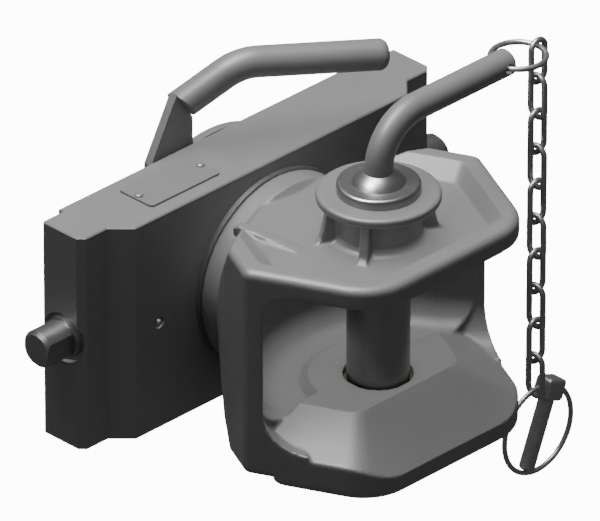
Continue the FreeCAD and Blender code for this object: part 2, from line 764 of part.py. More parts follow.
def room(name, radius, centre, bottom, top, low_round, high_round=None):
    """An upright round room with rounded floor and ceiling edges."""
    item = solid("Cylinder", name, (0, "-" + centre, "-(%s)" % bottom),
                 Radius=radius, Height="(%s) + (%s)" % (bottom, top))
    item = rounded(name + "_floor_round", item, low_round,
                   lambda edge: edge.BoundBox.ZLength < 0.01 and edge.BoundBox.ZMax < 0)
    if high_round is None:
        return item
    return rounded(name + "_ceiling_round", item, high_round,
                   lambda edge: edge.BoundBox.ZLength < 0.01 and edge.BoundBox.ZMin > D.deck_height / 2)


def mouth_tool():
    """The space between the jaws: two rooms with the seat standing in them and a flared lip in front."""
    low = "gutter_depth"
    ceiling = "deck_height - roof_thickness"
    inside = [
        room("mouth_room", "mouth_radius", "mouth_centre", low, ceiling, D.mouth_round, D.mouth_round),
        room("lip_room", "lip_radius", "lip_centre", low, ceiling, D.mouth_round, D.mouth_round),
    ]
    front = solid("Box", "mouth_front", ("-2 * jaw_side", "-4 * jaw_front", "-2 * jaw_depth"),
                  Length="4 * jaw_side", Width="4 * jaw_front + seat_back", Height="4 * jaw_depth")
    flare = fuse(
        "mouth_flare",
        room("flare_room", "lip_radius", "lip_centre", "lip_depth", "deck_height / 2", D.lip_round),
        room("ramp_room", "ramp_room_radius", "lip_centre", "ramp_floor", "deck_height / 2", D.mouth_round))
    slope = "2 * gutter_depth"
    seat = solid("Cone", "seat_boss", (0, 0, "-" + slope), Radius1="seat_radius + 2 * seat_slope_run",
                 Radius2="seat_radius", Height=slope)
    kept = common("mouth_seat", ramp_roof(), fuse("mouth_seat_plan", front, seat))
    return cut("mouth_space", fuse("mouth_rooms", *inside, common("mouth_flare_front", flare, front)), kept)


def tower():
    """The ribbed guide on the upper jaw, with a flanged top."""
    ring_low = "tower_top - tower_ring_thickness"
    sink = "deck_height - rib_sink"
    foot = "tower_foot_round * (1 - cos(45))"
    column = turned("tower_column", [
        (0, sink),
        ("tower_radius + tower_foot_round", sink),
        ("tower_radius + tower_foot_round", "deck_height"),
        ("tower_radius + " + foot, "deck_height + " + foot),
        ("tower_radius", "deck_height + tower_foot_round"), ("tower_radius", ring_low),
        ("tower_ring_radius", ring_low), ("tower_ring_radius", "tower_top"), (0, "tower_top"),
    ])
    column = rounded("tower_ring", column, D.tower_ring_round,
                     lambda edge: edge.BoundBox.ZLength < 0.01
                     and edge.BoundBox.XLength > D.tower_ring_radius + D.tower_radius + D.tower_foot_round)
    parts = [column]
    inner = "pin_radius + pin_bush_wall"
    for number, angle in enumerate((30, 150, 210, 330)):
        corners = [
            (inner, "deck_height - rib_sink"),
            ("rib_reach + rib_foot", "deck_height - rib_sink"),
            ("rib_reach + rib_foot", "deck_height + rib_foot / 6"),
            ("rib_reach", "deck_height + rib_foot"),
            ("rib_reach - rib_lean", ring_low + " + past"),
            (inner, ring_low + " + past"),
        ]
        turn = Rotation(Vector(0, 0, 1), angle)
        parts.append(padded("rib_%d" % number, corners, "rib_thickness", turn=turn,
                            offset="-rib_thickness / 2", plane="XZ_Plane"))
    return parts


def gussets():
    """Two low ribs that run down from the flange onto the deck, closing toward the tower."""
    parts = []
    for side, sign in (("left", -1), ("right", 1)):
        corners = [
            (0, "-gusset_thickness / 2"),
            (0, "gusset_height / 4"),
            ("-gusset_height / 2", "gusset_height / 2"),
            ("-gusset_length", "gusset_height / 20"),
            ("-gusset_length", "-gusset_thickness / 2"),
        ]
        root = ("%d * gusset_place" % sign, "flange_front - gusset_start", "deck_height")
        turn = Rotation(Vector(0, 0, 1), -sign * D.gusset_turn)
        parts.append(padded("gusset_" + side, corners, "gusset_thickness", root, turn,
                            "-gusset_thickness / 2", "YZ_Plane"))
    return parts


def jaw():
    """The jaw casting with its swivel shaft."""
    shell = cut("jaw_shell", jaw_block(), deck_tool())
    stud_end = "%s + loose_gap + rear_washer_thickness + nut_thickness + stud_proud" % HUB_END
    shaft = turned("jaw_shaft", [
        (0, "flange_front - flange_cone"),
        ("flange_radius - flange_cone", "flange_front - flange_cone"),
        ("flange_radius", "flange_front"),
        ("flange_radius", "flange_back"),
        ("shaft_radius", "flange_back"),
        ("shaft_radius", HUB_END + " + loose_gap"),
        ("stud_radius", HUB_END + " + loose_gap"),
        ("stud_radius", stud_end + " - stud_chamfer"),
        ("stud_radius - stud_chamfer", stud_end),
        (0, stud_end),
    ], SWIVEL_AXIS, ALONG_Y)
    bores = [
        solid("Cylinder", "pin_hole", (0, 0, "-2 * jaw_depth"),
              Radius="pin_hole_radius", Height="3 * jaw_depth"),
        solid("Cylinder", "lower_bush_hole", (0, 0, "-2 * jaw_depth"),
              Radius="pin_radius + pin_bush_wall", Height="2 * jaw_depth - lower_bush_top"),
        solid("Cylinder", "upper_bush_hole", (0, 0, "upper_boss_height / 2"),
              Radius="pin_radius + pin_bush_wall", Height="tower_top"),
        solid("Cylinder", "cotter_hole", ("-2 * stud_radius", COTTER_Y, "swivel_height"), ALONG_X,
              Radius="cotter_radius + loose_gap", Height="4 * stud_radius"),
    ]
    whole = fuse("jaw_whole", shell, shaft, *tower(), *gussets())
    boss = solid("Cylinder", "upper_boss", (0, 0, "upper_boss_height"), Radius="upper_boss_radius",
                 Height="deck_height - upper_boss_height")
    opened = fuse("jaw_opened", cut("jaw_mouth", whole, mouth_tool()), boss)
    node("jaw_casting", cut("jaw_bored", opened, *bores))


NUT_FRONT = HUB_END + " + loose_gap + rear_washer_thickness"
COTTER_Y = NUT_FRONT + " + nut_thickness - nut_crown / 2"


def pin_bushes():
    """Hardened bushes that guide the hitch pin above and below the mouth."""
    inner = "pin_radius + running_gap"
    outer = "pin_radius + pin_bush_wall"
    node("upper_pin_bush", tube("upper_pin_ring", inner, outer, "tower_top - upper_boss_height",
                                (0, 0, "upper_boss_height")))
    node("lower_pin_bush", tube("lower_pin_ring", inner, outer, "jaw_depth - lower_bush_top",
                                (0, 0, "-jaw_depth")))


def shaft_nut():
    """The washer, castle nut and cotter pin behind the hub."""
    node("rear_washer", tube(
        "rear_washer_ring", "stud_radius + loose_gap", "rear_washer_radius",
        "rear_washer_thickness", (0, HUB_END + " + loose_gap", "swivel_height"), ALONG_Y))
    hexagon = solid("Prism", "nut_hexagon", (0, NUT_FRONT, "swivel_height"), ALONG_Y,
                    Circumradius="nut_across_flats / 2 / cos(30)", Height="nut_thickness - nut_crown")
    crown = solid("Cylinder", "nut_crown_ring", (0, NUT_FRONT, "swivel_height"), ALONG_Y,
                  Radius="nut_across_flats / 2 - nut_crown_inset", Height="nut_thickness")
    bore = solid("Cylinder", "nut_bore", (0, NUT_FRONT + " - past", "swivel_height"), ALONG_Y,
                 Radius="stud_radius", Height="nut_thickness + 2 * past")
    slots = []
    for number in range(3):
        slot = solid("Box", "nut_slot_%d" % number,
                     Length="2 * nut_across_flats", Width="nut_slot", Height="2 * nut_crown")
        turn = Rotation(Vector(0, 1, 0), 60 * number) * ALONG_Y
        corner = turn.multVec(Vector(-D.nut_across_flats, -D.nut_slot / 2, 0))
        slot_front = NUT_FRONT + " + nut_thickness - nut_crown"
        place(slot, (corner.x, slot_front, "swivel_height + %f" % corner.z), turn)
        slots.append(slot)
    node("swivel_nut", cut("nut_slotted", fuse("nut_blank", hexagon, crown), bore, *slots))
    shank = solid("Cylinder", "cotter_shank", ("-cotter_reach", COTTER_Y, "swivel_height"), ALONG_X,
                  Radius="cotter_radius", Height="2 * cotter_reach")
    eye = solid("Torus", "cotter_eye", ("-cotter_reach - cotter_eye_radius", COTTER_Y, "swivel_height"),
                Radius1="cotter_eye_radius", Radius2="cotter_wire_radius")
    split = solid("Box", "cotter_split_tool", ("-stud_radius - loose_gap", COTTER_Y + " - cotter_split / 2",
                                               "swivel_height - 2 * cotter_radius"),
                  Length="2 * cotter_reach", Width="cotter_split", Height="4 * cotter_radius")
    node("cotter_pin", cut("cotter_cut", fuse("cotter_whole", shank, eye), split))


COLLAR_LOW = "tower_top + pin_washer_thickness"
COLLAR_HIGH = COLLAR_LOW + " + collar_thickness"


def hitch_pin():
    """The drop pin with its collar and dome, its thrust washer and its bent handle."""
    node("pin_washer", tube("pin_washer_ring", "pin_radius + loose_gap", "collar_radius",
                            "pin_washer_thickness", (0, 0, "tower_top")))
    body = turned("hitch_pin_body", [
        (0, "-pin_end"),
        ("pin_radius - pin_end_taper / 2", "-pin_end"),
        ("pin_radius", "-pin_end + pin_end_taper"),
        ("pin_radius", COLLAR_LOW),
        ("collar_radius", COLLAR_LOW),
        ("collar_radius", COLLAR_HIGH),
        (0, COLLAR_HIGH),
    ])
    collar_high = D.tower_top + D.pin_washer_thickness + D.collar_thickness
    body = rounded(
        "hitch_pin_collar", body, D.collar_round,
        lambda edge: abs(edge.BoundBox.ZMin - collar_high) < 0.01 and edge.BoundBox.XLength > D.collar_radius)
    centre = collar_high - math.sqrt(D.dome_radius ** 2 - D.dome_base_radius ** 2)
    latitude = math.degrees(math.acos(D.dome_base_radius / D.dome_radius))
    dome = solid("Sphere", "hitch_pin_dome", (0, 0, centre), Radius="dome_radius", Angle1=latitude)
    socket = solid("Cylinder", "handle_socket_hole", (0, 0, "handle_socket"),
                   Radius="handle_radius", Height="handle_height")
    lock_hole = solid("Cylinder", "pin_lock_hole", (0, "-2 * pin_radius", "-pin_lock_hole_place"), ALONG_Y,
                      Radius="pin_lock_hole_radius", Height="4 * pin_radius")
    node("hitch_pin", cut("hitch_pin_cut", fuse("hitch_pin_whole", body, dome), socket, lock_hole))
    foot = Vector(0, 0, D.handle_socket)
    bend = Vector(0, 0, D.handle_height)
    tip = Vector(D.handle_end, 0, D.handle_height)
    bar = shaped("handle_bar", bent_rod((foot, bend, tip), D.handle_radius, D.handle_bend_radius))
    bar = rounded("handle_end_chamfer", bar, D.handle_chamfer,
                  lambda edge: edge.CenterOfMass.distanceToPoint(tip) < 0.1, kind="Part::Chamfer")
    sagitta = D.key_ring_radius - math.sqrt(D.key_ring_radius ** 2 - D.handle_radius ** 2)
    hole = solid(
        "Cylinder", "key_ring_hole", ("key_ring_hole_place", "-2 * handle_radius", "handle_height"), ALONG_Y,
        Radius="key_ring_wire_radius + %f + loose_gap" % (sagitta / 2), Height="4 * handle_radius")
    node("pin_handle", cut("handle_drilled", bar, hole))
    ring_x = D.key_ring_hole_place - sagitta / 2 + D.key_ring_radius
    node("key_ring", solid("Torus", "key_ring_wire", (ring_x, 0, "handle_height"),
                           Radius1="key_ring_radius", Radius2="key_ring_wire_radius"))
    return ring_x + D.key_ring_radius


def chain(chain_x):
    """Ten long links, each hung through the one above and turned a quarter."""
    inner_top = D.handle_height + D.key_ring_wire_radius + D.loose_gap
    straight = D.link_inner_length - 2 * (D.link_arc_radius - D.link_wire_radius)
    pitch = D.link_inner_length - D.loose_gap
    for number in range(int(D.link_count)):
        centre = inner_top - D.link_inner_length / 2 - number * pitch
        name = "link_%02d" % (number + 1)
        across = Vector(1, 0, 0) if number % 2 == 0 else Vector(0, 1, 0)
        parts = []
        for end, sign in (("upper", 1), ("lower", -1)):
            arc = solid("Torus", "%s_%s" % (name, end),
                        Radius1="link_arc_radius", Radius2="link_wire_radius", Angle3=180)
            arc.Placement = Placement(
                Vector(chain_x, 0, centre + sign * straight / 2),
                Rotation(across * sign, Vector(0, 0, sign), across.cross(Vector(0, 0, 1)), "XYZ"))
            parts.append(arc)
        for side, sign in (("first", 1), ("second", -1)):
            leg = solid("Cylinder", "%s_%s" % (name, side), Radius="link_wire_radius", Height=straight)
            leg.Placement = Placement(
                Vector(chain_x, 0, centre - straight / 2) + across * sign * D.link_arc_radius, UP)
            parts.append(leg)
        node("chain_link_%02d" % (number + 1), fuse(name, *parts))
    return inner_top - D.link_inner_length - (int(D.link_count) - 1) * pitch - D.link_wire_radius


def lynch_pin(chain_x, wire_z):
    """The lynch pin that hangs on the last link by its spring bail."""
    rest = wire_z + D.link_wire_radius + D.bail_wire_radius + D.loose_gap
    drop = math.sqrt(D.bail_radius ** 2 - D.bail_lean ** 2)
    centre = Vector(chain_x + D.bail_lean, 0, rest - drop)
    tilt = math.radians(D.lynch_tilt)
    down = Vector(-math.sin(tilt), 0, -math.cos(tilt))
    across = Vector(math.cos(tilt), 0, -math.sin(tilt))
    knee_reach = D.bail_wire_radius + D.loose_gap
    head_height = math.sqrt(D.bail_radius ** 2 - (D.head_half_width + knee_reach) ** 2)
    head = centre - down * head_height
    frame = Rotation(across, Vector(0, -1, 0), down, "XYZ")

    block = solid("Box", "head_block",
                  Length="2 * head_half_width", Width="head_depth", Height="head_length")
    corner = Vector(-D.head_half_width, -D.head_depth / 2, -D.head_length / 2)
    block.Placement = Placement(head + frame.multVec(corner), frame)
    block = rounded("head_round_block", block, D.head_round, lambda edge: True)
    length = head_height + D.bail_radius - D.bail_wire_radius - 2 * D.loose_gap
    shank = turned("lynch_shank", [
        (0, 0), ("lynch_radius", 0), ("lynch_radius", "%f - lynch_chamfer" % length),
        ("lynch_radius - lynch_chamfer", length), (0, length),
    ])
    shank.Placement = Placement(head, frame)

    holes = []
    ends = []
    knees = []
    for side, sign in (("left", -1), ("right", 1)):
        inward = Rotation(Vector(0, 0, 1), across * -sign)
        face = head + across * sign * D.head_half_width
        knee = face + across * sign * knee_reach
        hole = solid("Cylinder", "bail_hole_" + side,
                     Radius="bail_wire_radius + running_gap", Height="bail_stub")
        hole.Placement = Placement(face, inward)
        stub = solid("Cylinder", "bail_stub_" + side, Radius="bail_wire_radius",
                     Height=knee_reach + D.bail_stub - D.loose_gap)
        stub.Placement = Placement(knee, inward)
        ball = solid("Sphere", "bail_knee_" + side, Radius="bail_wire_radius")
        ball.Placement = Placement(knee, UP)
        holes.append(hole)
        ends += [stub, ball]
        knees.append(knee)
    arc = Part.Arc(knees[0], centre + down * D.bail_radius, knees[1])
    tangent = arc.tangent(arc.FirstParameter)[0]
    section = Part.Wire(Part.Circle(knees[0], tangent, D.bail_wire_radius).toShape())
    loop = shaped("bail_loop", Part.Wire(arc.toShape()).makePipeShell([section], True, True))
    node("lynch_pin_bail", fuse("bail_whole", loop, *ends))
    node("lynch_pin", cut("lynch_cut", fuse("lynch_whole", block, shank), *holes))


carrier()
name_plate()
grease_nipples()
lock_pins()
lock_springs()
bushes()
circlip()
lever()
jaw()
pin_bushes()
shaft_nut()
chain_x = hitch_pin()
lowest_wire = chain(chain_x)
lynch_pin(chain_x, lowest_wire)

doc.recompute()
for item in doc.Objects:
    if "Invalid" in item.State or "Error" in item.State:
        raise RuntimeError("%s: %s" % (item.Label, item.State))
for item in nodes:
    if item.Shape.isNull() or not item.Shape.isValid():
        raise RuntimeError("no valid shape: " + item.Label)
for item in nodes:
    item.Shape.exportStep(os.path.join("parts", item.Label + ".step"))
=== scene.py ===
import json
import math

import bmesh
import bpy
from bpy.props import FloatProperty, FloatVectorProperty, IntProperty, PointerProperty
from bpy.types import Operator, Panel, PropertyGroup
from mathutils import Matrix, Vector
from mathutils.kdtree import KDTree


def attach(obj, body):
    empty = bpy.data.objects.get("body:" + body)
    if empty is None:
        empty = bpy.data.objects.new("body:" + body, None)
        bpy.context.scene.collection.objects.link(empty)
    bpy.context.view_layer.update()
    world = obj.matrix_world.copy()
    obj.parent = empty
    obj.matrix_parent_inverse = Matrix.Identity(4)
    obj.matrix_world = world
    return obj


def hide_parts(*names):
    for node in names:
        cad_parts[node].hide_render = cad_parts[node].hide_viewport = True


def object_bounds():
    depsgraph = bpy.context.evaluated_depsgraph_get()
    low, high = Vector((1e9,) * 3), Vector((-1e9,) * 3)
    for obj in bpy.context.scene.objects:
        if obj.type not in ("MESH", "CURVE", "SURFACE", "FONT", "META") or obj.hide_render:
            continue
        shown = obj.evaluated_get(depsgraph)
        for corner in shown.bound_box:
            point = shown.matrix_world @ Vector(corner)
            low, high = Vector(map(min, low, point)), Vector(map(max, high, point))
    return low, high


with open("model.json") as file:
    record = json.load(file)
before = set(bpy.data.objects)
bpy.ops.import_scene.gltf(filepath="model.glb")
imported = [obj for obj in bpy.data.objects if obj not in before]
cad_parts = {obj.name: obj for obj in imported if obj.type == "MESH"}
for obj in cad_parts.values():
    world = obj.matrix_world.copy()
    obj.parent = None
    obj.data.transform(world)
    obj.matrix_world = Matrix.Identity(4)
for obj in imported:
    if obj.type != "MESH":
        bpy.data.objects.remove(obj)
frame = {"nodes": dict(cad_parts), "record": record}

bl_info = {
    "name": "Clevis Hitch",
    "version": (1, 0, 0),
    "blender": (4, 5, 0),
    "location": "3D View > Sidebar > Hitch",
    "description": "Dresses a height-adjustable clevis hitch and sets it in a plain studio",
    "category": "Object",
}

CAD_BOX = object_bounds()
NODES = frame["nodes"]
BODY_OF = {
    node: body
    for body, members in frame["record"]["behaviour"]["bodies"].items()
    for node in members
}
SLOT_OF = {part["node"]: part["material_slot"] for part in frame["record"]["subparts"]}

# The jaw's mouth, whose lips are eased further than the rest of the casting
MOUTH_FRONT = -0.066
MOUTH_BACK = 0.08
MOUTH_BOTTOM = -0.025
MOUTH_TOP = 0.1

# An edge is sharp above this turn, and is followed in steps of this length
SHARP_TURN = math.radians(25)
EDGE_STEP = 0.0015

# How far one pass of easing takes a vertex towards its neighbours
EASE = 0.5

# Every light's name, its setting on the stage, its size, its place from the hitch's middle,
# whether it casts shadows and whether it lights matt surfaces
LIGHTS = (
    ("top_light", "key", 1.0, (-0.1, 0.2, 1.3), True, True),
    ("fill_light", "fill", 0.5, (-0.05, 0.2, 1.5), False, True),
    ("gloss_light", "gloss", 0.5, (-0.62, 0.16, 1.25), True, False),
)
FLOOR_SIZE = 12
SENSOR_WIDTH = 36


# Sizes and colours that a user may change

class HitchPaint(PropertyGroup):
    """The grey paint on the carrier, the lever and the casting."""

    colour: FloatVectorProperty(
        name="Paint colour", description="Colour of the grey paint",
        subtype="COLOR", size=3, min=0, max=1, default=(0.215, 0.215, 0.218))
    metal: FloatVectorProperty(
        name="Worn colour", description="Colour of the metal that shows along worn edges",
        subtype="COLOR", size=3, min=0, max=1, default=(0.40, 0.40, 0.405))
    roughness: FloatProperty(
        name="Roughness", description="Mean roughness of the paint",
        subtype="FACTOR", min=0, max=1, default=0.46)
    wear: FloatProperty(
        name="Edge wear", description="How far the paint is rubbed off along edges",
        subtype="FACTOR", min=0, max=1, default=0.35)
    edge: FloatProperty(
        name="Edge width", description="Width of the band along an edge that shows wear",
        subtype="DISTANCE", unit="LENGTH", min=0.0002, max=0.005, default=0.0011)
    sand: FloatProperty(
        name="Sand grain", description="Depth of the sand grain under the paint of the casting",
        subtype="DISTANCE", unit="LENGTH", min=0, max=0.001, default=0.00016)


class HitchSteel(PropertyGroup):
    """The bare, plated and bronze parts."""

    ground: FloatVectorProperty(
        name="Ground steel", description="Colour of the ground pins",
        subtype="COLOR", size=3, min=0, max=1, default=(0.27, 0.27, 0.275))
    turned: FloatVectorProperty(
        name="Turned steel", description="Colour of the turned washers and hubs",
        subtype="COLOR", size=3, min=0, max=1, default=(0.33, 0.33, 0.335))
    zinc: FloatVectorProperty(
        name="Zinc", description="Colour of the zinc plate on the chain and the nut",
        subtype="COLOR", size=3, min=0, max=1, default=(0.36, 0.36, 0.37))
    plate: FloatVectorProperty(
        name="Name plate", description="Colour of the blank name plate and its rivets",
        subtype="COLOR", size=3, min=0, max=1, default=(0.27, 0.27, 0.272))
    bronze: FloatVectorProperty(
        name="Bronze", description="Colour of the bronze bushes",
        subtype="COLOR", size=3, min=0, max=1, default=(0.42, 0.33, 0.20))
    tool_mark: FloatProperty(
        name="Tool marks", description="Depth of the turning and grinding marks",
        subtype="DISTANCE", unit="LENGTH", min=0, max=0.0005, default=0.00004)


class HitchCasting(PropertyGroup):
    """How the jaw casting is eased and painted."""

    depth: FloatProperty(
        name="Paint depth", description="How light the paint is on the casting against the carrier",
        subtype="FACTOR", min=0.3, max=1, default=1)
    grain: FloatProperty(
        name="Mesh size", description="Size of the casting's mesh",
        subtype="DISTANCE", unit="LENGTH", min=0.0008, max=0.004, default=0.001)
    keep: FloatProperty(
        name="Mesh share", description="Share of the casting's faces that are left when its mesh is thinned",
        subtype="FACTOR", min=0.05, max=1, default=0.36)
    passes: IntProperty(
        name="Easing", description="How often every edge of the casting is eased",
        min=0, max=30, default=1)
    seat_reach: FloatProperty(
        name="Seat reach", description="How far from the hitch pin's axis the edges of the seat stay crisp",
        subtype="DISTANCE", unit="LENGTH", min=0, max=0.1, default=0.062)
    lip_passes: IntProperty(
        name="Lip easing", description="How often the lips of the mouth are eased",
        min=0, max=120, default=12)
    lip_reach: FloatProperty(
        name="Lip reach", description="How far from its edge a lip is eased",
        subtype="DISTANCE", unit="LENGTH", min=0.001, max=0.02, default=0.005)


class HitchStage(PropertyGroup):
    """The studio round the hitch."""

    floor_drop: FloatProperty(
        name="Floor", description="How far the floor lies below the lowest link of the hitch",
        subtype="DISTANCE", unit="LENGTH", min=0, max=1, default=0.02)
    floor_colour: FloatVectorProperty(
        name="Floor colour", description="Colour of the floor",
        subtype="COLOR", size=3, min=0, max=1, default=(0.86, 0.86, 0.86))
    floor_glow: FloatProperty(
        name="Floor glow", description="How brightly the paper of the floor is lit through from below",
        min=0, max=50, default=12)
    air: FloatProperty(
        name="Room light", description="Strength of the light that comes from all round",
        min=0, max=5, default=0.11)
    key: FloatProperty(
        name="Top light", description="Power of the large soft light above the hitch",
        subtype="POWER", unit="POWER", min=0, max=1000, default=9)
    fill: FloatProperty(
        name="Fill light", description="Power of the light above the hitch that casts no shadow",
        subtype="POWER", unit="POWER", min=0, max=1000, default=23)
    gloss: FloatProperty(
        name="Gloss light", description="Power of the soft light that only shines in reflections",
        subtype="POWER", unit="POWER", min=0, max=1000, default=38)
    azimuth: FloatProperty(
        name="Camera azimuth", description="Direction of the camera round the hitch",
        subtype="ANGLE", unit="ROTATION", default=math.radians(-45))
    elevation: FloatProperty(
        name="Camera elevation", description="Height of the camera over the hitch",
        subtype="ANGLE", unit="ROTATION", default=math.radians(30))
    frame_width: FloatProperty(
        name="Frame width", description="Width of what the camera sees at the hitch",
        subtype="DISTANCE", unit="LENGTH", min=0.1, max=2, default=0.375)
    frame_right: FloatProperty(
        name="Frame right", description="Where the middle of the frame lies, to the camera's right",
        subtype="DISTANCE", unit="LENGTH", default=-0.048875)
    frame_up: FloatProperty(
        name="Frame up", description="Where the middle of the frame lies, upward in the frame",
        subtype="DISTANCE", unit="LENGTH", default=0.06969)
    lens: FloatProperty(
        name="Lens", description="Focal length in millimetres",
        min=20, max=1500, default=1000)


# Shader maths

class Flow:
    """What a socket gives, with the arithmetic that adds Math nodes to its material."""

    def __init__(self, finish, socket):
        self.finish = finish
        self.socket = socket

    def math(self, operation, *values, clamp=False):
        settings = {"operation": operation, "use_clamp": clamp}
        return self.finish.node("ShaderNodeMath", settings, dict(enumerate(values)))

    def __add__(self, other):
        return self.math("ADD", self, other)

    def __radd__(self, other):
        return self.math("ADD", other, self)

    def __sub__(self, other):
        return self.math("SUBTRACT", self, other)

    def __rsub__(self, other):
        return self.math("SUBTRACT", other, self)

    def __mul__(self, other):
        return self.math("MULTIPLY", self, other)

    def __rmul__(self, other):
        return self.math("MULTIPLY", other, self)

    def clamped(self):
        return self.math("ADD", self, 0, clamp=True)


class Finish:
    """A material that is put together node by node."""

    def __init__(self, name):
        self.material = bpy.data.materials.new(name)
        self.material.use_nodes = True
        self.nodes = self.material.node_tree.nodes
        self.links = self.material.node_tree.links
        self.nodes.clear()

    def node(self, kind, settings=None, sockets=None, output=0):
        """Add a node, with its settings first and then its values or links."""
        node = self.nodes.new(kind)
        for name, value in (settings or {}).items():
            if name == "stops":
                ramp = node.color_ramp.elements
                while len(ramp) < len(value):
                    ramp.new(1)
                for stop, (place, shade) in zip(ramp, value):
                    stop.position = place
                    stop.color = (shade, shade, shade, 1)
            else:
                setattr(node, name, value)
        for name, value in (sockets or {}).items():
            socket = node.inputs[name]
            if isinstance(value, Flow):
                self.links.new(value.socket, socket)
            elif socket.type == "RGBA":
                socket.default_value = (*value[:3], 1)
            else:
                socket.default_value = value
        return Flow(self, node.outputs[output]) if node.outputs else None

    def place(self):
        """Where a point lies on its piece, in metres."""
        return self.node("ShaderNodeTexCoord", output="Object")

    def noise(self, size, detail=2, rough=0.5, at=None):
        """Cloudy values from 0 to 1, about as large as the size."""
        sockets = {"Vector": at or self.place(), "Scale": 1 / size, "Detail": detail, "Roughness": rough}
        return self.node("ShaderNodeTexNoise", sockets=sockets)

    def ramp(self, value, *stops):
        """Shades between stops, each of them a place and a shade."""
        return self.node("ShaderNodeValToRGB", {"stops": stops}, {"Fac": value})

    def mix(self, factor, first, second):
        """One colour turning to another."""
        settings = {"data_type": "RGBA", "clamp_factor": True}
        return self.node("ShaderNodeMix", settings, {0: factor, 6: first, 7: second}, output=2)

    def edges(self, width, low=0.03, high=0.25):
        """1 along the outer and inner edges of a piece and 0 on its faces."""
        eased = self.node("ShaderNodeBevel", {"samples": 4}, {"Radius": width})
        plain = self.node("ShaderNodeNewGeometry", output="Normal")
        turn = self.node(
            "ShaderNodeVectorMath", {"operation": "DOT_PRODUCT"}, {0: eased, 1: plain}, output="Value")
        return self.ramp(1 - turn, (low, 0), (high, 1))

    def hollows(self, reach):
        """1 deep in corners and 0 in the open, from ambient occlusion; the finishes paint shade with it."""
        open_air = self.node("ShaderNodeAmbientOcclusion", {"samples": 6}, {"Distance": reach}, output="AO")
        return (1 - open_air).clamped()

    def bump(self, depth, height):
        """A relief as deep as the depth where the height goes from 0 to 1."""
        sockets = {"Distance": depth, "Strength": 1, "Height": height}
        return self.node("ShaderNodeBump", sockets=sockets, output="Normal")

    def surface(self, **sockets):
        """The finished material. A socket is named with _ for each space."""
        names = {name.replace("_", " "): value for name, value in sockets.items()}
        shader = self.node("ShaderNodeBsdfPrincipled", sockets=names)
        self.node("ShaderNodeOutputMaterial", sockets={"Surface": shader})
        return self.material


def shaded(colour, factor):
    """A colour made lighter or darker."""
    return tuple(channel * factor for channel in colour)


# Finishes

def painted_steel(name, paint, sand=0, depth=1):
    """Grey paint, rubbed along its edges and darkened in its corners by painted shade, over plate or over a
    sand casting.
    """
    finish = Finish(name)
    grey = shaded(paint.colour, depth)
    clouds = finish.noise(0.045, 3)
    specks = finish.noise(0.0016, 2, 0.6)
    rubbing = finish.noise(0.006, 4, 0.65)
    colour = finish.mix(clouds, shaded(grey, 0.93), shaded(grey, 1.07))
    colour = finish.mix(specks * 0.5, colour, shaded(grey, 0.86))
    # Painted shade: the colour is darkened deep in corners and hollows, where shade falls.
    painted_corner_shade = finish.hollows(0.012)
    colour = finish.mix(painted_corner_shade * 0.55, colour, shaded(grey, 0.55))
    worn = finish.edges(paint.edge) * finish.ramp(rubbing, (0.42, 0), (0.66, 1)) * paint.wear
    colour = finish.mix(worn, colour, paint.metal)
    grain = finish.noise(0.0011, 3, 0.6)
    if sand:
        swell = finish.noise(0.012, 2)
        pits = finish.node(
            "ShaderNodeTexVoronoi", {"feature": "SMOOTH_F1"},
            {"Vector": finish.place(), "Scale": 1 / 0.0021, "Smoothness": 0.6})
        relief = finish.bump(sand, grain * 0.55 + pits * 0.3 + swell * 0.6)
    else:
        relief = finish.bump(0.00003, grain)
    roughness = (paint.roughness - 0.09) + specks * 0.1 + clouds * 0.12 - worn * 0.1
    return finish.surface(
        Base_Color=colour, Roughness=roughness, Metallic=worn, Normal=relief,
        Coat_Weight=0.08, Coat_Roughness=0.3)


def tooled_steel(name, colour, steel, axis, roughness=0.3, pitch=0.0009, metallic=0.85, hollow_shade_strength=0.5):
    """Bare metal with fine marks round or along an axis, and painted shade in its hollows."""
    finish = Finish(name)
    place = finish.place()
    stretch = {"X": (1, 0.03, 0.03), "Y": (0.03, 1, 0.03), "Z": (0.03, 0.03, 1)}[axis]
    along = finish.node("ShaderNodeVectorMath", {"operation": "MULTIPLY"}, {0: place, 1: stretch})
    marks = finish.noise(pitch, 3, 0.7, along)
    clouds = finish.noise(0.02, 3)
    smears = finish.noise(0.007, 3, 0.6)
    tone = finish.mix(marks * 0.6 + clouds * 0.4, shaded(colour, 0.72), shaded(colour, 1.22))
    # Painted shade: the colour is darkened deep in hollows and corners, where shade falls; the strength sets
    # how dark.
    painted_hollow_shade = finish.hollows(0.006) * hollow_shade_strength
    tone = finish.mix(painted_hollow_shade, tone, shaded(colour, 0.4))
    bright = finish.edges(0.0005)
    tone = finish.mix(bright * 0.4, tone, shaded(colour, 1.5))
    rough = (roughness - 0.08) + marks * 0.1 + smears * 0.12
    return finish.surface(
        Base_Color=tone, Roughness=rough, Metallic=metallic, Normal=finish.bump(steel.tool_mark, marks))


def plated_wire(name, colour):
    """Zinc plate, slightly mottled, and darkened between the links by painted shade."""
    finish = Finish(name)
    spangle = finish.node(
        "ShaderNodeTexVoronoi", sockets={"Vector": finish.place(), "Scale": 1 / 0.0022}, output="Distance")
    clouds = finish.noise(0.008, 3)
    fine = finish.noise(0.0008, 3, 0.6)
    tone = finish.mix(clouds * 0.7 + spangle * 0.3, shaded(colour, 0.78), shaded(colour, 1.2))
    # Painted shade: the colour is darkened deep between the links and in other hollows, where shade falls.
    tone = finish.mix(finish.hollows(0.004) * 0.6, tone, shaded(colour, 0.35))
    rough = 0.26 + clouds * 0.16 + fine * 0.08
    return finish.surface(
        Base_Color=tone, Roughness=rough, Metallic=0.85, Normal=finish.bump(0.00002, fine + spangle * 0.4))


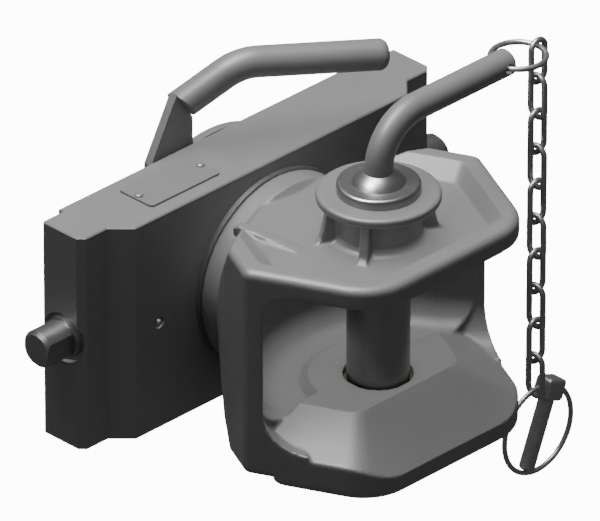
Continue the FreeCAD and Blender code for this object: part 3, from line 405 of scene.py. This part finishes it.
def brushed_plate(name, colour):
    """A blank plate brushed along its length."""
    finish = Finish(name)
    stretched = finish.node(
        "ShaderNodeVectorMath", {"operation": "MULTIPLY"}, {0: finish.place(), 1: (0.02, 1, 1)})
    brush = finish.noise(0.0005, 4, 0.7, stretched)
    clouds = finish.noise(0.015, 2)
    tone = finish.mix(brush * 0.6 + clouds * 0.4, shaded(colour, 0.85), shaded(colour, 1.12))
    # Painted shade: the colour is darkened in hollows and corners round the plate and rivets, where shade
    # falls.
    tone = finish.mix(finish.hollows(0.003) * 0.6, tone, shaded(colour, 0.4))
    return finish.surface(
        Base_Color=tone, Roughness=0.34 + brush * 0.14, Metallic=0.4, Normal=finish.bump(0.00001, brush))


def studio_paper(name, colour, glow):
    """The floor: matt paper with a faint tooth, lit through from below."""
    finish = Finish(name)
    tooth = finish.noise(0.004, 2)
    clouds = finish.noise(0.6, 2)
    tone = finish.mix(clouds, shaded(colour, 0.99), shaded(colour, 1.01))
    return finish.surface(
        Base_Color=tone, Roughness=0.85, Specular_IOR_Level=0.1, Normal=finish.bump(0.00005, tooth),
        Emission_Color=(1, 1, 1, 1), Emission_Strength=glow)


# Pieces

def dress(material, *names):
    """Give CAD nodes a finish."""
    for name in names:
        NODES[name].data.materials.clear()
        NODES[name].data.materials.append(material)


def nodes_in(slot, *left_out):
    """The CAD nodes with one of the record's material slots."""
    return [name for name in NODES if SLOT_OF[name] == slot and name not in left_out]


def sharp_edge_points(mesh):
    """Points along the sharp edges of a mesh."""
    form = bmesh.new()
    form.from_mesh(mesh)
    bmesh.ops.remove_doubles(form, verts=form.verts, dist=1e-6)
    points = []
    for edge in form.edges:
        if len(edge.link_faces) == 2 and edge.calc_face_angle(0) > SHARP_TURN:
            start, end = (vertex.co for vertex in edge.verts)
            count = max(1, math.ceil((end - start).length / EDGE_STEP))
            points += [start.lerp(end, number / count) for number in range(count + 1)]
    form.free()
    return points


def nearness(mesh, points, reach):
    """How near each vertex within reach is to some points: 1 at a point, easing to 0 at the reach."""
    tree = KDTree(len(points))
    for number, point in enumerate(points):
        tree.insert(point, number)
    tree.balance()
    shares = {}
    for vertex in mesh.vertices:
        share = 1 - tree.find(vertex.co)[2] / reach
        if share > 0:
            shares[vertex.index] = share * share * (3 - 2 * share)
    return shares


def modified(source, kind, shares=None, **settings):
    """A mesh after one modifier, which acts on each vertex by its share where shares are given."""
    item = bpy.data.objects.new("item", source)
    bpy.context.scene.collection.objects.link(item)
    modifier = item.modifiers.new("Modifier", kind)
    for setting, value in settings.items():
        setattr(modifier, setting, value)
    if shares is not None:
        group = item.vertex_groups.new(name="shares")
        for vertex, share in shares.items():
            group.add([vertex], share, "REPLACE")
        modifier.vertex_group = group.name
    shape = item.evaluated_get(bpy.context.evaluated_depsgraph_get())
    mesh = bpy.data.meshes.new_from_object(shape)
    bpy.data.objects.remove(item)
    return mesh


def eased_casting(node, name, casting, on_a_lip):
    """A piece with a CAD node's form whose edges are eased as a casting's are, and its lips further."""
    source = NODES[node].data
    mesh = modified(source.copy(), "REMESH", mode="VOXEL", voxel_size=casting.grain)
    mesh = modified(mesh, "SMOOTH", factor=EASE, iterations=casting.passes)
    lips = [point for point in sharp_edge_points(source) if on_a_lip(point)]
    mesh = modified(
        mesh, "SMOOTH", nearness(mesh, lips, casting.lip_reach), factor=EASE, iterations=casting.lip_passes)
    mesh = modified(mesh, "DECIMATE", ratio=casting.keep)
    mesh.name = name
    for polygon in mesh.polygons:
        polygon.use_smooth = True
    mesh.materials.clear()
    piece = bpy.data.objects.new(name, mesh)
    bpy.context.scene.collection.objects.link(piece)
    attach(piece, BODY_OF[node])
    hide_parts(node)
    return piece


class HITCH_OT_carrier(Operator):
    """Paint the carrier and finish its name plate and grease nipples"""

    bl_idname = "hitch.carrier"
    bl_label = "Carrier"

    def execute(self, context):
        steel = context.scene.hitch_steel
        dress(painted_steel("carrier_paint", context.scene.hitch_paint), "carrier")
        dress(brushed_plate("blank_plate", steel.plate), *nodes_in("plate_metal"))
        dress(plated_wire("nipple_zinc", steel.zinc), *nodes_in("nipple_steel"))
        return {"FINISHED"}


class HITCH_OT_lock_pins(Operator):
    """Finish the two lock pins, their pegs and the springs"""

    bl_idname = "hitch.lock_pins"
    bl_label = "Lock pins"

    def execute(self, context):
        steel = context.scene.hitch_steel
        dress(tooled_steel("ground_steel", steel.ground, steel, "X"), *nodes_in("pin_steel", "hitch_pin"))
        dress(tooled_steel("spring_wire", shaded(steel.ground, 0.8), steel, "X"), *nodes_in("spring_steel"))
        return {"FINISHED"}


class HITCH_OT_lever(Operator):
    """Paint the release lever and its rod"""

    bl_idname = "hitch.lever"
    bl_label = "Release lever"

    def execute(self, context):
        paint = context.scene.hitch_paint
        dress(painted_steel("lever_paint", paint), *nodes_in("lever_paint", "pin_handle"))
        return {"FINISHED"}


class HITCH_OT_jaw(Operator):
    """Build the jaw's casting with eased edges, and paint it"""

    bl_idname = "hitch.jaw"
    bl_label = "Jaw casting"

    def execute(self, context):
        paint = context.scene.hitch_paint
        casting = context.scene.hitch_casting

        def on_a_lip(point):
            outside = math.hypot(point.x, point.y) > casting.seat_reach
            return outside and MOUTH_FRONT < point.y < MOUTH_BACK and MOUTH_BOTTOM < point.z < MOUTH_TOP

        piece = eased_casting("jaw_casting", "jaw", casting, on_a_lip)
        piece.data.materials.append(painted_steel("casting_paint", paint, paint.sand, casting.depth))
        return {"FINISHED"}


class HITCH_OT_swivel(Operator):
    """Finish the bushes, and the washers, nut and cotter pin of the swivel"""

    bl_idname = "hitch.swivel"
    bl_label = "Swivel and bushes"

    def execute(self, context):
        steel = context.scene.hitch_steel
        dress(tooled_steel("turned_bronze", steel.bronze, steel, "Y"), *nodes_in("bush_bronze"))
        dress(tooled_steel("turned_steel", steel.turned, steel, "Y"), *nodes_in("bare_steel", "pin_washer"))
        dress(plated_wire("nut_zinc", steel.zinc), *nodes_in("nut_steel"))
        return {"FINISHED"}


class HITCH_OT_drop_pin(Operator):
    """Finish the hitch pin and its washer, and paint its handle"""

    bl_idname = "hitch.drop_pin"
    bl_label = "Drop pin"

    def execute(self, context):
        steel = context.scene.hitch_steel
        dress(tooled_steel("drop_pin_steel", steel.ground, steel, "X"), "hitch_pin")
        dress(tooled_steel("washer_steel", steel.turned, steel, "Y"), "pin_washer")
        dress(painted_steel("handle_paint", context.scene.hitch_paint), "pin_handle")
        return {"FINISHED"}


class HITCH_OT_chain(Operator):
    """Finish the key ring, the chain and the lynch pin"""

    bl_idname = "hitch.chain"
    bl_label = "Chain and lynch pin"

    def execute(self, context):
        zinc = context.scene.hitch_steel.zinc
        dress(plated_wire("chain_zinc", zinc), *nodes_in("chain_zinc"), *nodes_in("lynch_steel"))
        return {"FINISHED"}


class HITCH_OT_stage(Operator):
    """Lay the floor, hang the lights and set the camera"""

    bl_idname = "hitch.stage"
    bl_label = "Studio"

    def execute(self, context):
        stage = context.scene.hitch_stage
        low, high = (Vector(corner) for corner in CAD_BOX)
        form = bmesh.new()
        bmesh.ops.create_grid(form, x_segments=1, y_segments=1, size=FLOOR_SIZE)
        mesh = bpy.data.meshes.new("floor")
        form.to_mesh(mesh)
        form.free()
        floor = bpy.data.objects.new("floor", mesh)
        floor.location.z = low.z - stage.floor_drop
        floor.data.materials.append(studio_paper("studio_paper", stage.floor_colour, stage.floor_glow))
        context.scene.collection.objects.link(floor)
        floor.visible_diffuse = False
        floor.visible_glossy = False

        world = bpy.data.worlds.new("studio_air")
        world.use_nodes = True
        air = world.node_tree.nodes["Background"]
        air.inputs["Color"].default_value = (1, 1, 1, 1)
        air.inputs["Strength"].default_value = stage.air
        context.scene.world = world

        middle = (low + high) / 2
        for name, setting, size, way, shadow, matt in LIGHTS:
            lamp = bpy.data.lights.new(name, "AREA")
            lamp.size = size
            lamp.energy = getattr(stage, setting)
            lamp.use_shadow = shadow
            item = bpy.data.objects.new(name, lamp)
            item.location = middle + Vector(way)
            item.rotation_euler = (-Vector(way)).to_track_quat("-Z", "Y").to_euler()
            item.visible_diffuse = matt
            context.scene.collection.objects.link(item)

        camera = bpy.data.objects.new("camera", bpy.data.cameras.new("camera"))
        around, above = stage.azimuth, stage.elevation
        right = Vector((math.cos(around), math.sin(around), 0))
        back = Vector((
            math.sin(around) * math.cos(above), -math.cos(around) * math.cos(above), math.sin(above)))
        up = back.cross(right)
        camera.data.lens = stage.lens
        camera.data.sensor_width = SENSOR_WIDTH
        distance = stage.frame_width * stage.lens / SENSOR_WIDTH
        camera.location = right * stage.frame_right + up * stage.frame_up + back * distance
        camera.rotation_euler = (-back).to_track_quat("-Z", "Y").to_euler()
        camera.data.clip_start = distance / 100
        camera.data.clip_end = distance * 10
        context.scene.collection.objects.link(camera)
        context.scene.camera = camera
        return {"FINISHED"}


GROUPS = {
    "hitch_paint": HitchPaint,
    "hitch_steel": HitchSteel,
    "hitch_casting": HitchCasting,
    "hitch_stage": HitchStage,
}
OPERATORS = (
    HITCH_OT_carrier, HITCH_OT_lock_pins, HITCH_OT_lever, HITCH_OT_jaw,
    HITCH_OT_swivel, HITCH_OT_drop_pin, HITCH_OT_chain, HITCH_OT_stage,
)


class HITCH_PT_panel(Panel):
    """Sizes, colours and pieces of the hitch"""

    bl_idname = "HITCH_PT_panel"
    bl_label = "Clevis Hitch"
    bl_space_type = "VIEW_3D"
    bl_region_type = "UI"
    bl_category = "Hitch"

    def draw(self, context):
        for group in GROUPS:
            box = self.layout.box()
            settings = getattr(context.scene, group)
            box.label(text=settings.__doc__)
            for setting in settings.__annotations__:
                box.prop(settings, setting)
        for operator in OPERATORS:
            self.layout.operator(operator.bl_idname)


def register():
    for item in (*GROUPS.values(), *OPERATORS, HITCH_PT_panel):
        bpy.utils.register_class(item)
    for name, group in GROUPS.items():
        setattr(bpy.types.Scene, name, PointerProperty(type=group))


def unregister():
    for name in GROUPS:
        delattr(bpy.types.Scene, name)
    for item in reversed((*GROUPS.values(), *OPERATORS, HITCH_PT_panel)):
        bpy.utils.unregister_class(item)


def main():
    register()
    for operator in OPERATORS:
        family, name = operator.bl_idname.split(".")
        getattr(getattr(bpy.ops, family), name)()


if __name__ == "__main__":
    main()
